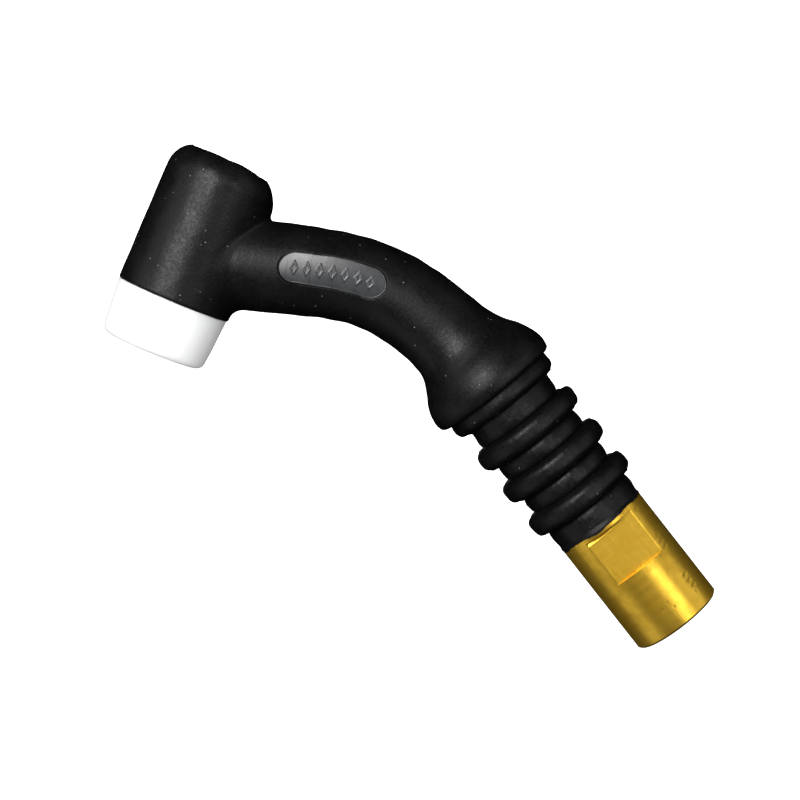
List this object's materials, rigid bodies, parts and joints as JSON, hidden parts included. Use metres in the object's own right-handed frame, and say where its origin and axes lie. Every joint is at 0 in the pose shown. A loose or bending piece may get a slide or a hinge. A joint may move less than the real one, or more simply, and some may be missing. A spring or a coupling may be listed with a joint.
{
  "type": "tig torch head body",
  "caption": "Air-cooled TIG torch head body: moulded rubber T head on a hand-bendable neck, flared skirt, ribbed sleeve, brass cable nipple and white front insulator.",
  "frame": {"origin": "centre of the cable thread's mouth, in the brass nipple's rear face", "axes": "+X out of the nipple towards the cable, +Z square to the torch's plane of symmetry; the torch lies on its side"},
  "size_m": [0.1561, 0.0775, 0.0312],
  "materials": {
    "moulded_rubber": "matte moulded",
    "turned_brass": "machined",
    "copper_tube": "drawn, annealed",
    "silver_solder": "as brazed",
    "white_ptfe": "turned, waxy"
  },
  "bodies": {
    "cable_end": {"brass_nipple": "turned_brass", "ribbed_sleeve": "moulded_rubber", "flared_skirt": "moulded_rubber", "gas_tube_rear": "copper_tube", "rear_braze_ring": "silver_solder"},
    "neck_link_1": {"neck_cover_1": "moulded_rubber", "gas_tube_1": "copper_tube"},
    "neck_link_2": {"neck_cover_2": "moulded_rubber", "gas_tube_2": "copper_tube"},
    "neck_link_3": {"neck_cover_3": "moulded_rubber", "gas_tube_3": "copper_tube"},
    "neck_link_4": {"neck_cover_4": "moulded_rubber", "gas_tube_4": "copper_tube"},
    "neck_link_5": {"neck_cover_5": "moulded_rubber", "gas_tube_5": "copper_tube"},
    "neck_link_6": {"neck_cover_6": "moulded_rubber", "gas_tube_6": "copper_tube"},
    "neck_link_7": {"neck_cover_7": "moulded_rubber", "gas_tube_7": "copper_tube"},
    "head": {"head_cover": "moulded_rubber", "head_core": "turned_brass", "gas_tube_front": "copper_tube", "front_braze_ring": "silver_solder", "front_insulator": "white_ptfe"}
  },
  "joints": [
    {"name": "neck_bend_1", "type": "hinge", "parent": "cable_end", "child": "neck_link_1", "pos_m": [-0.08908, -0.00243, 0], "axis": [0.0005, 0.0003, 1], "range_deg": [-8, 8]},
    {"name": "neck_swing_1", "type": "hinge", "parent": "neck_link_1", "child": "neck_link_2", "pos_m": [-0.09426, -0.00383, 0], "axis": [-0.3137, 0.9495, 0], "range_deg": [-8, 8]},
    {"name": "neck_bend_2", "type": "hinge", "parent": "neck_link_2", "child": "neck_link_3", "pos_m": [-0.09926, -0.00579, 0], "axis": [0.0005, 0.0003, 1], "range_deg": [-8, 8]},
    {"name": "neck_swing_2", "type": "hinge", "parent": "neck_link_3", "child": "neck_link_4", "pos_m": [-0.10401, -0.00828, 0], "axis": [-0.5126, 0.8586, 0], "range_deg": [-8, 8]},
    {"name": "neck_bend_3", "type": "hinge", "parent": "neck_link_4", "child": "neck_link_5", "pos_m": [-0.10846, -0.01128, 0], "axis": [0.0005, 0.0003, 1], "range_deg": [-8, 8]},
    {"name": "neck_swing_3", "type": "hinge", "parent": "neck_link_5", "child": "neck_link_6", "pos_m": [-0.11256, -0.01475, 0], "axis": [-0.6871, 0.7266, 0], "range_deg": [-8, 8]},
    {"name": "neck_bend_4", "type": "hinge", "parent": "neck_link_6", "child": "neck_link_7", "pos_m": [-0.11648, -0.01846, 0], "axis": [0.0005, 0.0003, 1], "range_deg": [-8, 8]},
    {"name": "neck_swing_4", "type": "hinge", "parent": "neck_link_7", "child": "head", "pos_m": [-0.1204, -0.02217, 0], "axis": [-0.6871, 0.7266, 0], "range_deg": [-8, 8]}
  ],
  "couplings": [
    {"joint": "neck_bend_2", "follows": "neck_bend_1", "ratio": 1},
    {"joint": "neck_swing_2", "follows": "neck_swing_1", "ratio": 1},
    {"joint": "neck_bend_3", "follows": "neck_bend_1", "ratio": 1},
    {"joint": "neck_swing_3", "follows": "neck_swing_1", "ratio": 1},
    {"joint": "neck_bend_4", "follows": "neck_bend_1", "ratio": 1},
    {"joint": "neck_swing_4", "follows": "neck_swing_1", "ratio": 1}
  ]
}
